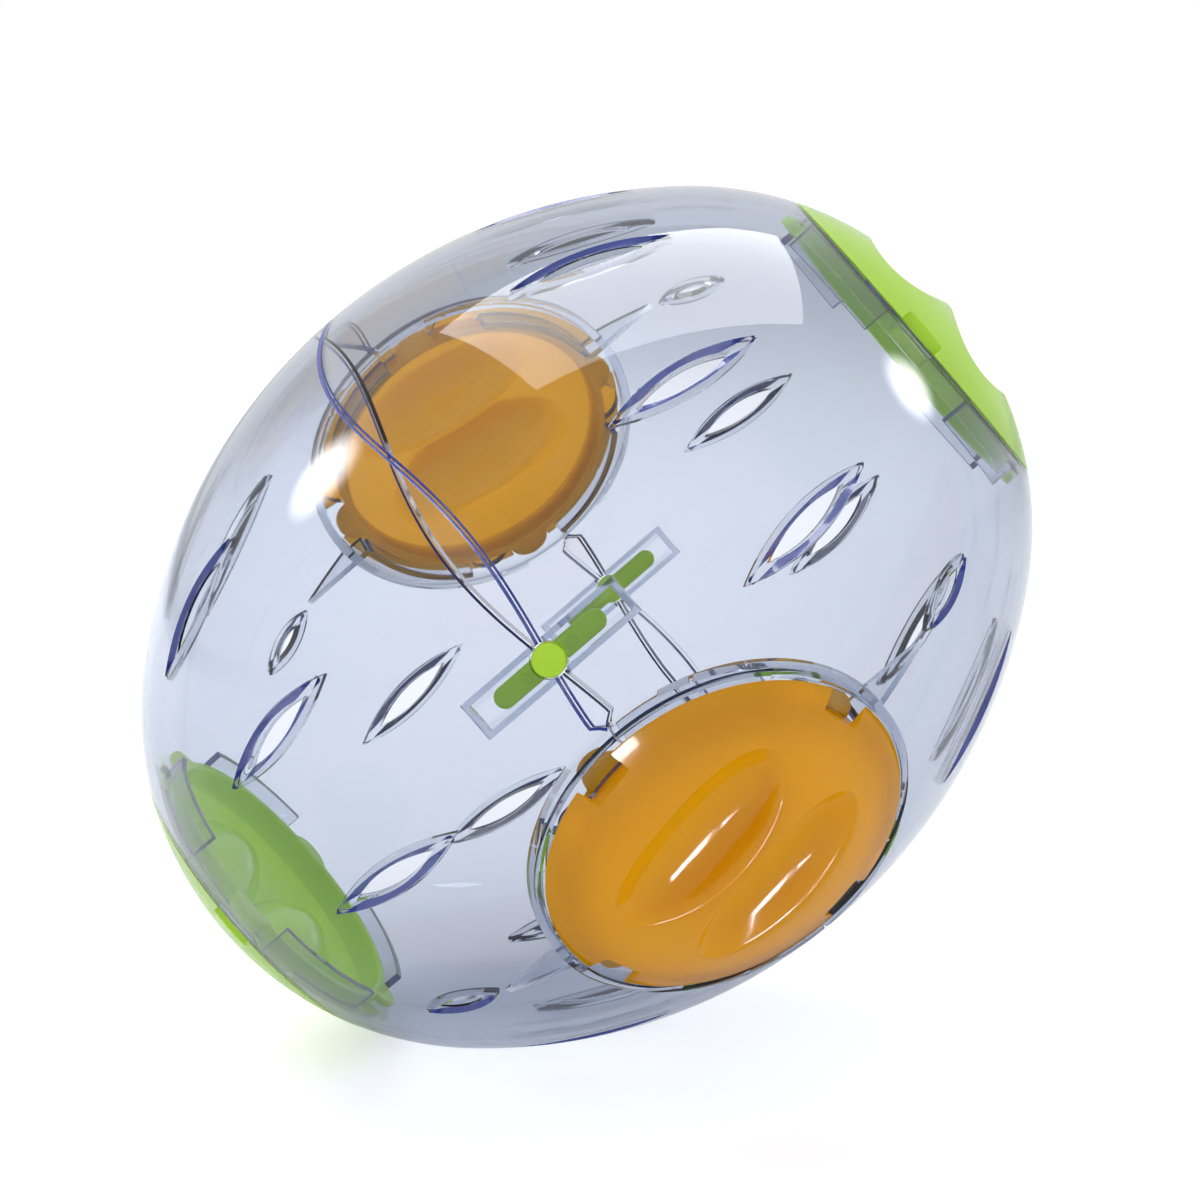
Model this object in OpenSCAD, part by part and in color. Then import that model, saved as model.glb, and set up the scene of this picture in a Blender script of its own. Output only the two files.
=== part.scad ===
// Exercise ball for a small pet: two clear half shells, four twist-in caps and two press latches.
// Millimetres. The origin is the ball's centre, +X its long axis, -Y the front side cap, +Z up.

/* [Ball] */
// Diameter of the ball round its middle
ball_d = 170; // [164:1:180]
// Length of the whole oval, as if its ends had no holes
oval_l = 208.4; // [202:0.2:214]
// How much smaller the radius of the oval's end curve is than the ball's
end_round = 11; // [9:0.5:13]
// Thickness of the clear wall
wall_t = 2; // [1.8:0.1:2.4]
// Gap left between the two half shells
joint_gap = 0.3; // [0.2:0.05:0.4]
// How far the lobes of the wavy joint reach over the middle
lobe_h = 3.2; // [2:0.1:4]

/* [Air slots] */
// Length of a long slot's mouth
slot_l = 35; // [28:0.5:37]
// Width of a slot's mouth
slot_w = 6.4; // [5:0.1:7]
// Length of the long slot's opening
slot_hole_l = 23; // [18:0.5:26]
// Width of the slot's opening
slot_hole_w = 4.4; // [3:0.1:4.8]
// Distance of a long slot's middle from the ball's middle
slot_x = 54; // [52:0.5:56]
// Length of the short slot's mouth beside a side cap
short_slot_l = 17; // [14:0.5:20]
// Length of the short slot's opening
short_hole_l = 11; // [9:0.5:12]
// Width of the short slot's mouth
short_slot_w = 4.8; // [4:0.1:5.5]
// Width of the short slot's opening
short_hole_w = 3; // [2.4:0.1:3.6]
// Distance of a short slot's middle from the ball's middle
short_slot_x = 65; // [64:0.5:67]
// Depth of the slot's mouth below the surface
slot_mouth_t = 1; // [0.6:0.1:1.4]
// Height of the rim round a slot, inside the ball
slot_rim_h = 1.2; // [0.6:0.1:2]
// Width of that rim beside the mouth
slot_rim_w = 0.8; // [0.5:0.1:1.2]

/* [Caps] */
// Radius of a cap's rim
cap_r = 38.4; // [37.6:0.1:39]
// Height of a cap's dome above its rim
cap_h = 10.5; // [9.5:0.1:12]
// Thickness of a cap
cap_t = 2; // [1.6:0.1:2.4]
// Length of a finger hollow
finger_l = 44; // [38:1:48]
// Width of a finger hollow
finger_w = 19; // [16:0.5:20]
// Width of the grip between the two finger hollows
grip_w = 4; // [3:0.2:5]
// Width of the notch over each locking tongue
notch_w = 10; // [8:0.5:12]
// Radius of a tongue's rounded tip
tongue_r = 5; // [4:0.1:5.4]
// Thickness of a tongue
tongue_t = 2.4; // [2:0.1:2.8]
// How far a tongue's tip stays inside the edge of the rim
tongue_inset = 0.8; // [0.6:0.1:1]
// Turn that frees the tongues, in degrees
twist = 18; // [17:0.5:20]
// How far the side caps are turned from the long axis when locked, in degrees
side_cap_turn = 12; // [10:0.5:14]

/* [Cap seats] */
// Width of the ledge between a cap's hole and the edge of its rim
ledge_w = 4.4; // [4:0.1:4.8]
// Thickness of the ledge that a cap's rim lies on
ledge_t = 1.9; // [1.5:0.1:2.2]
// Depth of the broken collar below the rim of a cap
collar_h = 7.7; // [6:0.1:9]
// Thickness of the collar and of the ribs behind it
collar_t = 1.6; // [1.2:0.1:1.8]
// How far the collar stands back from the edge of the hole
collar_back = 0.2; // [0.1:0.1:0.4]
// Gap under a cap's rim and over its tongues
seat_gap = 0.25; // [0.2:0.05:0.4]
// Gap round a cap's skirt
skirt_gap = 0.4; // [0.3:0.05:0.5]
// Gap round a cap's rim
rim_gap = 0.3; // [0.2:0.05:0.5]
// How far the side seats stand out past the mean height of the ball round them
side_seat_lift = 0.3; // [0:0.1:0.6]

/* [Latches] */
// Length of the latch bar
bar_l = 27; // [24:0.5:29]
// Width of the latch bar
bar_w = 4.5; // [4:0.1:5]
// Thickness of the latch bar
bar_t = 1.6; // [1.2:0.1:2]
// Radius of the round push button
button_r = 3.4; // [3:0.1:3.8]
// Gap round the push button
button_gap = 0.3; // [0.2:0.05:0.4]
// Length of the rails that guide the bar
rail_l = 38; // [36:0.5:40]
// Width over both rails
rail_w = 8.6; // [8:0.1:9.4]
// Thickness of a rail
rail_t = 1.2; // [1:0.1:1.4]
// Travel of the push button
press = 1.5; // [1:0.1:2]
// Angle of the front latch round the long axis, from the front side cap, in degrees
latch_turn = -40.3; // [-44:0.1:-38]

/* [Hidden] */
$fn = 144;
over = 1;            // overrun of every cut
ball_r = ball_d / 2;
slots = 12;          // air slots round each half
lobes = 10;          // lobes of the wavy joint
tongues = 4;         // locking tongues on a cap
lobe_turn = 360 / lobes;
lobe_l = 2 * ball_r * sin(lobe_turn / 2);
slot_turn = 360 / slots;
tongue_turn = 360 / tongues;
clear = "#cfd8ea";
orange = "#c8891e";
green = "#96c33c";

// The oval is two end curves and one side curve, each tangent to the next
end_curve_r = ball_r - end_round;
end_c = oval_l / 2 - end_curve_r;
side_curve_r = (ball_r ^ 2 + end_c ^ 2 - end_curve_r ^ 2) / (2 * end_round);
side_c = side_curve_r - ball_r;
reach = oval_l;

// A cap's dome, and the seats that its rim lies on
dome_r = (cap_r ^ 2 + cap_h ^ 2) / (2 * cap_h);
end_seat = end_c + sqrt(end_curve_r ^ 2 - cap_r ^ 2);
seat_over = sqrt(ball_r ^ 2 - cap_r ^ 2);
seat_along = sqrt(side_curve_r ^ 2 - cap_r ^ 2) - side_c;
side_seat = (seat_over + seat_along) / 2 + side_seat_lift;
bore_r = cap_r - ledge_w;    // the hole that a cap closes
skirt_r = bore_r - skirt_gap;
skirt_t = cap_t;
ledge_top = -seat_gap;
ledge_low = ledge_top - ledge_t;
tongue_top = ledge_low - seat_gap;
tongue_low = tongue_top - tongue_t;
tongue_tip = cap_r - tongue_inset;
tongue_at = tongue_tip - tongue_r;
entry_r = tongue_r + skirt_gap;
ring_in = tongue_at + entry_r + skirt_gap;    // clear of the ways in
ring_out = cap_r + wall_t;

// The collar stands back from the hole. Each stretch of it starts past a freed tongue, and ends before
// the joint between the half shells
clear_turn = 1.2;    // in degrees
collar_in = bore_r + collar_back;
tongue_half = asin(tongue_r / tongue_at);
collar_from = twist + tongue_half + clear_turn;
collar_to = tongue_turn - side_cap_turn - clear_turn;
finger_r = (finger_l ^ 2 + finger_w ^ 2) / (4 * finger_w);
finger_at = (grip_w + finger_w) / 2;
finger_up = sqrt(dome_r ^ 2 - finger_at ^ 2) - dome_r + cap_h;

// The latch bar lies just under the wall at its two ends
bar_end_drop = ball_r + side_c - sqrt(side_curve_r ^ 2 - (bar_l / 2) ^ 2);
bar_top = -wall_t - bar_end_drop - joint_gap;
bar_low = bar_top - bar_t;
lip_t = rail_t / 2;
lip_w = rail_t;
rail_low = bar_low - press - joint_gap - lip_t;
rail_start = joint_gap + 2 * lobe_h * rail_w / lobe_l;    // clear of the other half's lobes
peg_r = bar_w / 5;
peg_x = button_r + bar_w / 2;

// Half of the oval's outline, set in from the surface: across is the radius, up is the long axis
module oval_face(inset) {
    span = side_curve_r - end_curve_r;
    far_r = reach * side_c / span;
    far_x = end_c + reach * end_c / span;
    intersection() {
        translate([-side_c, 0]) circle(r = side_curve_r - inset);
        polygon([[0, -end_c], [far_r, -far_x], [far_r + reach, -far_x],
                 [far_r + reach, far_x], [far_r, far_x], [0, end_c]]);
    }
    for (s = [-1, 1]) intersection() {
        translate([0, s * end_c]) circle(r = end_curve_r - inset);
        polygon([[0, s * end_c], [far_r, s * far_x], [0, s * (end_c + reach)]]);
    }
}

// The part of the oval's solid on one side of the middle, from a distance off the middle outwards
module half_body(side, inset, from) {
    rotate([0, 90, 0]) rotate_extrude() intersection() {
        oval_face(inset);
        translate([0, side > 0 ? from : -from - reach]) square([reach, reach]);
    }
}

// The layer of the wall between two depths
module layer(side, outer, inner, from) {
    difference() {
        half_body(side, outer, from);
        half_body(side, inner, from - over);
    }
}

// Stands its children on the surface, at an angle round the long axis and a distance along it
module on_oval(turn, along) {
    rotate([turn, 0, 0]) rotate([90, 0, 0]) translate([0, 0, -side_c])
        rotate([0, asin(along / side_curve_r), 0]) translate([0, 0, side_curve_r]) children();
}

// Stands its children on a side seat or an end seat, with +Z outwards
module on_side_seat(back) {
    rotate([back ? 180 : 0, 0, 0]) rotate([90, 0, 0]) translate([0, 0, side_seat])
        rotate([0, 0, side_cap_turn]) children();
}

module on_end_seat(side) {
    rotate([latch_turn, 0, 0]) rotate([0, side > 0 ? 0 : 180, 0])
        rotate([-90, 0, 0]) rotate([0, 90, 0]) translate([0, 0, end_seat]) children();
}

// A pointed oval between two arcs
module lens(length, width) {
    r = (length ^ 2 + width ^ 2) / (4 * width);
    intersection() {
        translate([0, r - width / 2]) circle(r = r);
        translate([0, width / 2 - r]) circle(r = r);
    }
}

// One lobe of the wavy joint, on one side of the middle, grown by a margin
module lobe(k, side, grow) {
    length = lobe_l + 2 * grow;
    height = lobe_h + grow;
    turn = latch_turn + (k + 0.5) * lobe_turn;
    rotate([turn, 0, 0]) rotate([90, 0, 0]) translate([0, 0, ball_r / 2])
        linear_extrude(ball_r) intersection() {
            rotate(90) lens(length, 2 * height);
            translate([side > 0 ? -over : -reach, -reach / 2]) square([reach + over, reach]);
        }
}

// Lobes reach out of the outer layer and the inner layer in turn, and stop short of the side seats
module lobes_out(side) {
    mid = wall_t / 2;
    difference() {
        for (k = [0 : lobes - 1]) {
            outer = (k % 2 == 0) == (side > 0);
            intersection() {
                layer(-side, outer ? 0 : mid + joint_gap / 2,
                      outer ? mid - joint_gap / 2 : wall_t, -over - joint_gap);
                lobe(k, -side, -joint_gap);
            }
        }
        for (back = [false, true]) on_side_seat(back)
            translate([0, 0, -ball_r / 4]) cylinder(r = ring_out + joint_gap, h = ball_r / 2);
    }
}

// The room that one half makes for the other half's lobes
module lobes_room(side) {
    mid = wall_t / 2;
    for (k = [0 : lobes - 1]) {
        outer = (k % 2 == 0) == (side < 0);
        if (outer) difference() {
            lobe(k, side, joint_gap);
            half_body(side, mid + joint_gap / 2, -2 * over);
        }
        else intersection() {
            lobe(k, side, joint_gap);
            layer(side, mid - joint_gap / 2, wall_t + joint_gap, -2 * over);
        }
    }
}

// Every air slot of one half, as prisms with a given outline
module slot_prisms(side, grow, long_l, long_w, short_l, short_w) {
    for (k = [0 : slots - 1]) {
        short = k % (slots / 2) == 0;
        on_oval(k * slot_turn, side * (short ? short_slot_x : slot_x))
            linear_extrude(ball_r / 4, center = true)
                lens((short ? short_l : long_l) + 2 * grow, (short ? short_w : long_w) + 2 * grow);
    }
}

// The ledge round a cap's hole, with a way in for each tongue
module ledge(outer_r) {
    translate([0, 0, ledge_low]) linear_extrude(ledge_t) difference() {
        circle(r = outer_r);
        circle(r = bore_r);
        for (k = [0 : tongues - 1])
            rotate(k * tongue_turn + twist) translate([tongue_at, 0]) circle(r = entry_r);
    }
}

// The broken collar under the ledge
module collar() {
    for (k = [0 : tongues - 1]) rotate([0, 0, k * tongue_turn + collar_from])
        rotate_extrude(angle = collar_to - collar_from) translate([collar_in, -collar_h])
            square([collar_t, collar_h + ledge_low + ledge_t / 2]);
}

// A side seat: ledge, collar, and a ring that carries them to the ball's wall
module side_seat_ring() {
    ledge(ring_out);
    collar();
    ring_low = seat_over - side_seat - 1.5 * wall_t;
    translate([0, 0, ring_low]) linear_extrude(ledge_top - ring_low) difference() {
        circle(r = ring_out);
        circle(r = ring_in);
    }
}

// A flat rib in line with the long axis, from the collar out to the wall, under the ledge
module side_seat_rib(side, back) {
    rib_in = collar_in + collar_t / 2;
    difference() {
        rotate([back ? 180 : 0, 0, 0]) intersection() {
            half_body(side, wall_t / 2, joint_gap);
            translate([side > 0 ? rib_in : -rib_in - reach, -reach - side_seat + collar_h, -collar_t / 2])
                cube([reach, reach, collar_t]);
        }
        on_side_seat(back) translate([0, 0, ledge_low + ledge_t / 2])
            cylinder(r = (ring_in + ring_out) / 2, h = ball_r / 2);
    }
}

// Everything on one side of the middle
module half_space(side) {
    translate([side > 0 ? joint_gap / 2 : -joint_gap / 2 - reach, -reach, -reach])
        cube([reach, 2 * reach, 2 * reach]);
}

// Rails, end wall and lips that guide the latch bar, on one half, with room for the button
module latch_rails(side) {
    in_w = rail_w / 2 - rail_t;
    depth = -rail_low;
    for (back = [0, 1]) intersection() {
        half_body(side, wall_t / 2, rail_start);
        on_oval(latch_turn + 180 * back, 0) translate([0, 0, rail_low]) difference() {
            translate([-rail_l / 2, -rail_w / 2, 0]) cube([rail_l, rail_w, depth]);
            translate([rail_t - rail_l / 2, -in_w, lip_t]) cube([rail_l - 2 * rail_t, 2 * in_w, depth]);
            translate([rail_t - rail_l / 2, lip_w - in_w, -over])
                cube([rail_l - 2 * rail_t, 2 * (in_w - lip_w), depth]);
            translate([0, 0, lip_t]) cylinder(r = button_r + button_gap, h = depth);
        }
    }
}

module half_shell(side) {
    color(clear, 0.5) union() {
        difference() {
            union() {
                layer(side, 0, wall_t, joint_gap / 2);
                lobes_out(side);
                intersection() {
                    slot_prisms(side, slot_rim_w, slot_l, slot_w, short_slot_l, short_slot_w);
                    layer(side, wall_t / 2, wall_t + slot_rim_h, joint_gap);
                }
            }
            lobes_room(side);
            slot_prisms(side, 0, slot_hole_l, slot_hole_w, short_hole_l, short_hole_w);
            difference() {
                slot_prisms(side, 0, slot_l, slot_w, short_slot_l, short_slot_w);
                half_body(side, slot_mouth_t, joint_gap);
            }
            for (back = [false, true]) on_side_seat(back) {
                translate([0, 0, -ball_r / 4]) cylinder(r = ring_in, h = ball_r / 2);
                translate([0, 0, ledge_top]) cylinder(r = cap_r + rim_gap, h = ball_r / 2);
            }
            on_end_seat(side) {
                translate([0, 0, -ball_r / 4]) cylinder(r = ring_in, h = ball_r / 2);
                translate([0, 0, ledge_top]) cylinder(r = ring_out, h = ball_r / 2);
            }
            for (back = [0, 1]) on_oval(latch_turn + 180 * back, 0)
                translate([0, 0, -ball_r / 8]) cylinder(r = button_r + button_gap, h = ball_r / 4);
        }
        intersection() {
            half_space(side);
            for (back = [false, true]) on_side_seat(back) side_seat_ring();
        }
        for (back = [false, true]) side_seat_rib(side, back);
        intersection() {
            half_body(side, 0, joint_gap);
            on_end_seat(side) ledge(ring_out + wall_t);
        }
        on_end_seat(side) collar();
        latch_rails(side);
    }
}

// One finger hollow, or the skin under it when it is grown: an arc turned about its own chord
module finger_hollow(side, grow) {
    translate([0, side * finger_at, finger_up]) rotate([0, 90, 0]) rotate_extrude()
        intersection() {
            translate([finger_w / 2 - finger_r, 0]) circle(r = finger_r + grow);
            translate([0, -finger_l]) square([finger_l, 2 * finger_l]);
        }
}

module dome(inset) {
    difference() {
        translate([0, 0, cap_h - dome_r]) sphere(r = dome_r - inset);
        translate([-2 * dome_r, -2 * dome_r, -4 * dome_r]) cube([4 * dome_r, 4 * dome_r, 4 * dome_r]);
    }
}

// One cap, with its rim at zero height and its grip along X
module cap(shade) {
    color(shade) difference() {
        union() {
            difference() {
                dome(0);
                translate([0, 0, cap_h - dome_r]) sphere(r = dome_r - cap_t);
            }
            intersection() {
                translate([0, 0, cap_h - dome_r]) sphere(r = dome_r);
                for (s = [-1, 1]) finger_hollow(s, cap_t);
            }
            translate([0, 0, tongue_low]) difference() {
                cylinder(r = skirt_r, h = -tongue_low + cap_t);
                translate([0, 0, -over]) cylinder(r = skirt_r - skirt_t, h = -tongue_low + cap_t + 2 * over);
            }
            for (k = [0 : tongues - 1]) rotate([0, 0, k * tongue_turn])
                translate([0, 0, tongue_low]) linear_extrude(tongue_t) difference() {
                    translate([tongue_at, 0]) circle(r = tongue_r);
                    circle(r = skirt_r - skirt_t / 2);
                }
        }
        for (s = [-1, 1]) finger_hollow(s, 0);
        for (k = [0 : tongues - 1]) rotate([0, 0, k * tongue_turn])
            translate([skirt_r, -notch_w / 2, -seat_gap]) cube([cap_r, notch_w, cap_h]);
    }
}

// One latch: a bar under the wall, two pegs on it, and a round button that comes out flush
module latch(back) {
    color(green) on_oval(latch_turn + (back ? 180 : 0), 0) {
        translate([-bar_l / 2, -bar_w / 2, bar_low]) cube([bar_l, bar_w, bar_t]);
        for (s = [-1, 1]) translate([s * peg_x, 0, bar_low])
            cylinder(r = peg_r, h = -wall_t - joint_gap - bar_low);
        translate([0, 0, bar_low]) cylinder(r = button_r, h = -bar_low);
    }
}

module left_shell() half_shell(-1);
module right_shell() half_shell(1);
module left_cap() on_end_seat(-1) cap(green);
module right_cap() on_end_seat(1) cap(green);
module front_cap() on_side_seat(false) cap(orange);
module rear_cap() on_side_seat(true) cap(orange);
module front_latch() latch(false);
module rear_latch() latch(true);

left_shell();
right_shell();
left_cap();
right_cap();
front_cap();
rear_cap();
front_latch();
rear_latch();
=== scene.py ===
# %% [markdown]
# # A clear oval exercise ball
#
# Two clear half shells meet in a wavy joint round the middle. Four twist-in caps close the holes at the
# ends and at the sides, and two press latches sit on the joint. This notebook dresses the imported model:
# it keeps every place and size, and makes the smooth moulded surfaces that clear plastic needs.

# %% Load the frame
import math

import bpy
import numpy as np
from mathutils import Matrix, Vector


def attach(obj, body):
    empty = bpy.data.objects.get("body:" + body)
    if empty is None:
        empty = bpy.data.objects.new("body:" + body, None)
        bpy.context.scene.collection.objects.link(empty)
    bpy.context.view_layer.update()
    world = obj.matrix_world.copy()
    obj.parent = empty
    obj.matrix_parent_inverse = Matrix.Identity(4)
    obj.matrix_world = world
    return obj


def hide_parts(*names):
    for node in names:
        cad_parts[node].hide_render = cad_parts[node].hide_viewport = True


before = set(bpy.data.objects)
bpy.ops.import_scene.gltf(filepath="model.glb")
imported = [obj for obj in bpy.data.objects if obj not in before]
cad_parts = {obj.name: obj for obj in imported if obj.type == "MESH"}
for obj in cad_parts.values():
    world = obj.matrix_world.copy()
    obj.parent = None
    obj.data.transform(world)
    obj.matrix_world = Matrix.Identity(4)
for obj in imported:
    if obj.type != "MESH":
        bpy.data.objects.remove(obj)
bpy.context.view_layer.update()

MM = 0.001    # the frame is in metres, and the sizes below are in millimetres
quarter_turn = math.pi / 2

# %% [markdown]
# ## The sizes that everything follows
#
# A moulded oval is drawn with few numbers: two end curves and one side curve that touch without a kink.
# The same numbers give the walls, the seats of the caps and the paths of the air slots, so that all of
# them fit each other. Angles round the long axis start at the front side cap and turn towards the floor.

# %% Sizes of the ball and its caps
ball_r = 85.0           # round the middle
oval_half = 104.2       # from the middle to where the end curve would cross the long axis
end_curve_r = 74.0
wall_t = 2.0
joint_gap = 0.3         # between the two half shells
lobe_h = 3.2            # how far a lobe of the joint reaches
lobe_pairs = 5
joint_bevel = 0.6
end_c = oval_half - end_curve_r      # centre of the end curve, on the long axis
side_curve_r = (ball_r**2 + end_c**2 - end_curve_r**2) / (2 * (ball_r - end_curve_r))
side_c = side_curve_r - ball_r       # centre of the side curve, beyond the long axis
join_beta = math.asin(end_c / (side_curve_r - end_curve_r))

cap_r = 38.4
cap_h = 10.5            # how far the dome stands over its rim
cap_t = 2.0
bore_r = 34.0           # hole under a cap
seat_gap = 0.25         # between a cap's rim and its ledge
ledge_t = 1.9
ledge_top = -seat_gap
ledge_low = ledge_top - ledge_t
dome_r = (cap_r**2 + cap_h**2) / (2 * cap_h)
end_seat = end_c + math.sqrt(end_curve_r**2 - cap_r**2)
seat_over = math.sqrt(ball_r**2 - cap_r**2)
seat_along = math.sqrt(side_curve_r**2 - cap_r**2) - side_c
seat_lift = 0.3         # a side seat stands a little over the mean of the wall's heights under its rim
side_seat = (seat_over + seat_along) / 2 + seat_lift
side_cap_turn = math.radians(12)
latch_turn = math.radians(-40.3)
print(f"side curve {side_curve_r:.1f} mm, end seat {end_seat:.1f} mm, side seat {side_seat:.1f} mm")

# %% [markdown]
# ## From arrays of points to closed meshes
#
# Every solid here is a grid of points that one formula gives, or a profile carried along a path. A small
# helper turns such a grid into faces, closes its ends and checks its volume, so that faces point outwards.

# %% Grids of points become solids
def grid_solid(points, loop_rows=False):
    """Skin of a grid of points. Each row is a ring, and each face joins a point, its neighbour in the row
    and the two points under them. The first and last rows are joined, or else get a flat end face."""
    rows, columns = points.shape[:2]
    i = np.arange(rows if loop_rows else rows - 1)[:, None]
    j = np.arange(columns)[None, :]
    right = (j + 1) % columns
    under = (i + 1) % rows
    quads = np.stack([i * columns + j, i * columns + right, under * columns + right, under * columns + j], -1)
    faces = quads.reshape(-1, 4).tolist()
    if not loop_rows:
        faces.append(list(range(columns))[::-1])
        faces.append(list(range((rows - 1) * columns, rows * columns)))
    return points.reshape(-1, 3), faces


def lens_solid(levels):
    """Skin of a stack of lens outlines: walls between the levels, and strips across the two ends."""
    count = levels.shape[1]
    points, faces = grid_solid(levels)
    first, last = faces[-2:]
    faces = faces[:-2]
    k = np.arange(count // 2 - 1)
    for loop in (np.array(first), np.array(last)):
        strip = np.stack([loop[k], loop[k + 1], loop[count - 2 - k], loop[count - 1 - k]], -1)
        faces += strip.tolist()
    return points, faces


def volume(points, faces):
    """Signed volume: the sum over each face's fan of triangles of a . (b x c) / 6."""
    fans = [(f[0], f[k], f[k + 1]) for f in faces for k in range(1, len(f) - 1)]
    a, b, c = (points[np.array(fans)[:, k]] for k in range(3))
    return float((a * np.cross(b, c)).sum() / 6)


def make_object(name, solids, marks=0):
    """One object from solids that don't touch each other, in metres, with every face outwards. A face's
    mark stays with it when the object is added to a wall or cut from it."""
    points = []
    faces = []
    start = 0
    for p, f in solids:
        outwards = volume(p, f) > 0
        faces += [[start + k for k in (face if outwards else face[::-1])] for face in f]
        points.append(p * MM)
        start += len(p)
    mesh = bpy.data.meshes.new(name)
    mesh.from_pydata(np.concatenate(points).tolist(), [], faces)
    mesh.polygons.foreach_set("material_index", np.broadcast_to(marks, len(faces)).astype(np.int32))
    piece = bpy.data.objects.new(name, mesh)
    bpy.context.scene.collection.objects.link(piece)
    return piece


def placed(points, matrix):
    """Points turned and moved by a 4 x 4 matrix, in millimetres."""
    m = np.array(matrix)
    return points @ m[:3, :3].T + m[:3, 3]


# %% [markdown]
# ## Adding and cutting
#
# Air slots, holes and ledges meet the curved wall along lines that are hard to write down, but easy to
# cut. Boolean modifiers with the manifold solver do it quickly and keep each solid closed. Their result
# is kept as the mesh, and the tools are thrown away.

# %% Boolean helper
def combine(body, steps):
    """Runs Boolean modifiers one after another and keeps the result as the body's own mesh."""
    for operation, tool in steps:
        step = body.modifiers.new(operation, "BOOLEAN")
        step.operation = operation
        step.object = tool
        step.solver = "MANIFOLD"
    graph = bpy.context.evaluated_depsgraph_get()
    result = bpy.data.meshes.new_from_object(body.evaluated_get(graph))
    body.modifiers.clear()
    body.data = result
    for operation, tool in steps:
        bpy.data.objects.remove(tool)
    return body


# %% [markdown]
# ## Shading that follows the formula
#
# Clear plastic shows every fault in its shading, because light is bent by it twice. Cutting leaves long
# thin triangles, whose averaged shading would ripple. So each corner that lies on a moulded surface gets
# the exact direction which the formula of that surface gives, and all other edges stay crisp.

# %% Exact shading on moulded surfaces
skin_reach = 0.02                       # a corner this close to a skin lies on it
skin_tilt = math.radians(35)            # and its face may lean by this much
crease = math.radians(32)               # elsewhere, an edge that bends more than this stays crisp


def shade(piece, surface):
    """surface(points in mm) returns a list of (distance from a skin, way that skin faces). A corner that
    lies on a skin faces as the skin does. Returns which faces have only such corners."""
    mesh = piece.data
    mesh.polygons.foreach_set("use_smooth", np.ones(len(mesh.polygons), bool))
    mesh.set_sharp_from_angle(angle=crease)
    co = np.empty(len(mesh.vertices) * 3)
    mesh.vertices.foreach_get("co", co)
    co = co.reshape(-1, 3) / MM
    corner = np.empty(len(mesh.loops), int)
    mesh.loops.foreach_get("vertex_index", corner)
    total = np.empty(len(mesh.polygons), int)
    mesh.polygons.foreach_get("loop_total", total)
    facing = np.empty(len(mesh.polygons) * 3)
    mesh.polygons.foreach_get("normal", facing)
    facing = np.repeat(facing.reshape(-1, 3), total, axis=0)
    normals = np.zeros((len(corner), 3))
    for distance, way in surface(co):
        near = np.abs(distance[corner]) < skin_reach
        along = (facing * way[corner]).sum(1) > math.cos(skin_tilt)
        normals[near & along] = way[corner][near & along]
    moulded = np.abs(normals).sum(1) > 0
    mesh.normals_split_custom_set(normals)
    start = np.concatenate([[0], np.cumsum(total)[:-1]])
    return np.minimum.reduceat(moulded.astype(int), start).astype(bool)


# %% [markdown]
# ## The oval wall
#
# A point of the wall is found by the way the wall faces there. On the side curve that angle swings round
# a point beyond the long axis, and on the end curve round a point on the axis. A depth below the surface
# only shortens the radius, so the wall has the same thickness everywhere.

# %% Formulas of the oval
def wall_profile(beta, depth):
    """Distance along the axis and radius, where the wall faces beta away from the middle.
    Side curve: ((R - d) sin b, (R - d) cos b - c). End curve: (e + (r - d) sin b, (r - d) cos b)."""
    side = beta < join_beta
    reach = np.where(side, side_curve_r, end_curve_r) - depth
    x = reach * np.sin(beta) + np.where(side, 0, end_c)
    r = reach * np.cos(beta) - np.where(side, side_c, 0)
    return x, r


def around(x, r, turn):
    """A profile point turned round the long axis: (x, -r cos t, -r sin t)."""
    x, r, turn = np.broadcast_arrays(x, r, turn)
    return np.stack([x, -r * np.cos(turn), -r * np.sin(turn)], -1)


def wall_skins(points):
    """Distance of points from the wall's two skins and from the top of the slot rims, and the way each
    of them faces. The depth of a point is the curve's radius less its distance from the curve's centre."""
    x = np.abs(points[:, 0])
    r = np.maximum(np.hypot(points[:, 1], points[:, 2]), 1e-6)
    side = np.arctan2(x, r + side_c) < join_beta
    dx = x - np.where(side, 0, end_c)
    dr = r + np.where(side, side_c, 0)
    length = np.hypot(dx, dr)
    depth = np.where(side, side_curve_r, end_curve_r) - length
    out = np.stack([dx * np.sign(points[:, 0]), dr * points[:, 1] / r, dr * points[:, 2] / r], -1)
    out /= length[:, None]
    return [(depth, out), (depth - wall_t, -out), (depth - wall_t - slot_rim_h, -out)]


# %% [markdown]
# ## The wavy joint
#
# The halves don't meet in a straight line. The outer layer of one wall reaches over the other by a few
# millimetres, and the next lobe does the opposite, so the halves centre each other like fingers. Seen
# through the clear wall, the two edges cross again and again. Here both edges are sines of the same five
# periods with opposite signs, and they run level where a side seat takes their place.

# %% Edge of the joint
least_wave = 0.02     # the two edges never quite meet, so that no face of the step is empty


def wave(turn):
    """Place of the outer edge along the axis: h sin(5 (latch - t)), faded out beside the side seats."""
    off_seat = ball_r * np.abs(np.sin(turn)) - (cap_r + wall_t + joint_gap)
    fade = np.clip(off_seat / wall_t, 0, 1)
    height = lobe_h * np.sin(lobe_pairs * (latch_turn - turn)) * fade * fade * (3 - 2 * fade)
    return np.where(np.abs(height) < least_wave, least_wave, height)


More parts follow.
